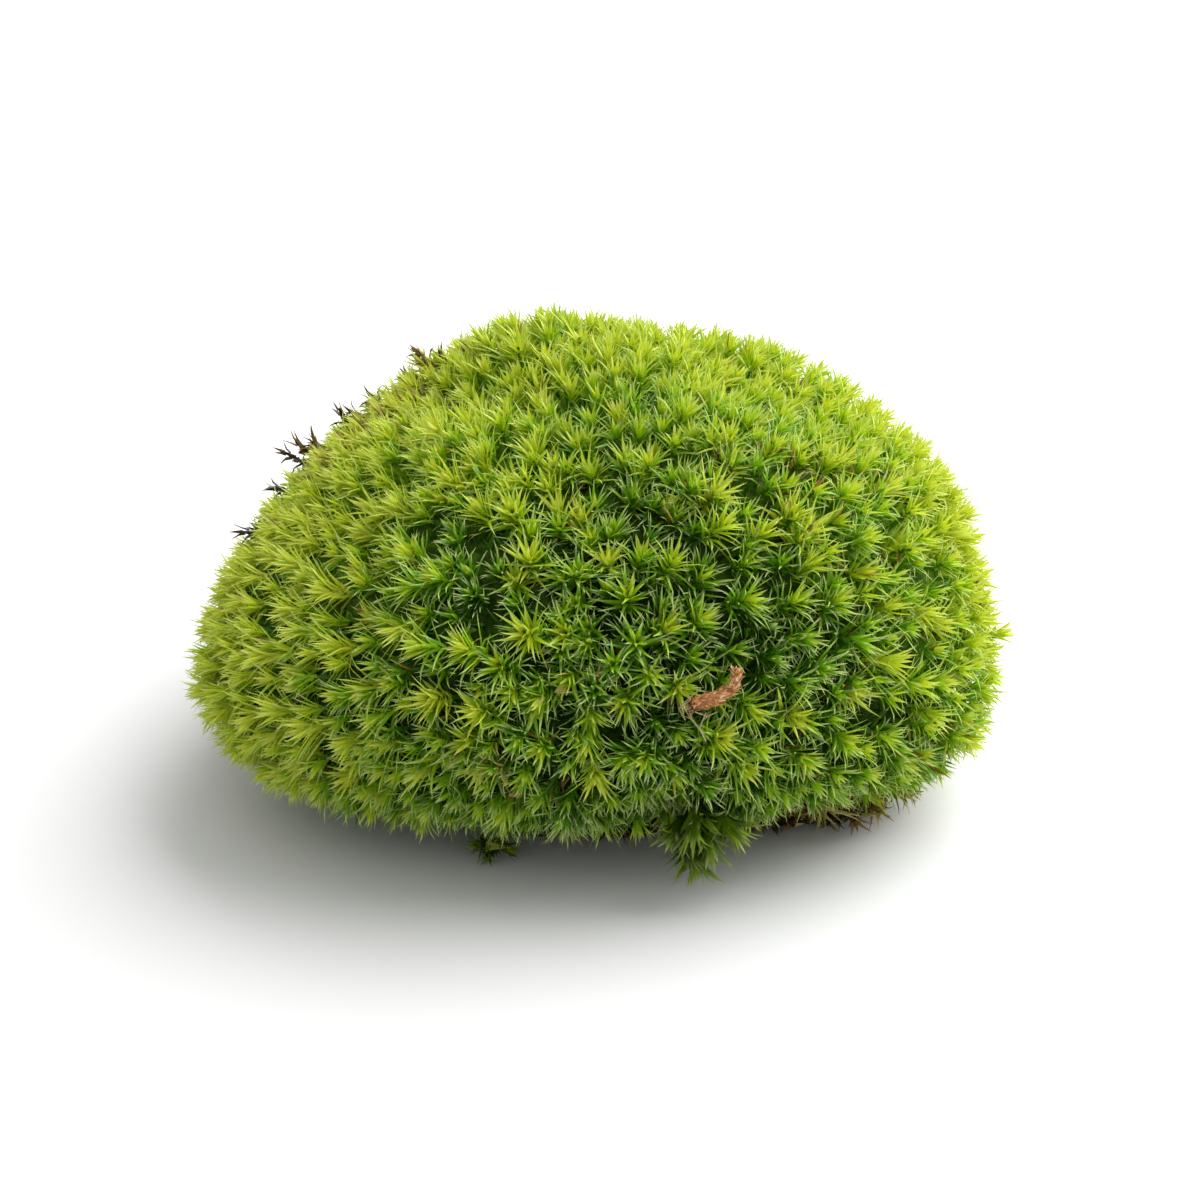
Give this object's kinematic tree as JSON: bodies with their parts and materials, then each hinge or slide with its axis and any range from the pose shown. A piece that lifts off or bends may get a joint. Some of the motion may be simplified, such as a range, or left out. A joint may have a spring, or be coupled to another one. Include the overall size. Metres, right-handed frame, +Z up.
{
  "type": "moss clump",
  "caption": "Hand-sized bun of green cushion moss with leafy shoots, on its brown foot of dead stems and cut flat below, for dressing a terrarium, pot or garden scene.",
  "frame": {"origin": "the middle of the flat cut underside, on the plane the clump rests on", "axes": "+Z up out of the crown, +X along the clump's length to the right, the front of the clump towards -Y"},
  "size_m": [0.1161, 0.0988, 0.0623],
  "materials": {
    "living_moss": "matte",
    "dead_stems": "matte",
    "tuft_moss": "matte",
    "sprig_moss": "matte",
    "dry_twig": "matte"
  },
  "bodies": {
    "root": {"moss_cushion": "living_moss", "rhizoid_mat": "dead_stems", "front_tuft": "tuft_moss", "stray_sprig": "sprig_moss", "dry_twig_tip": "dry_twig"}
  },
  "joints": []
}
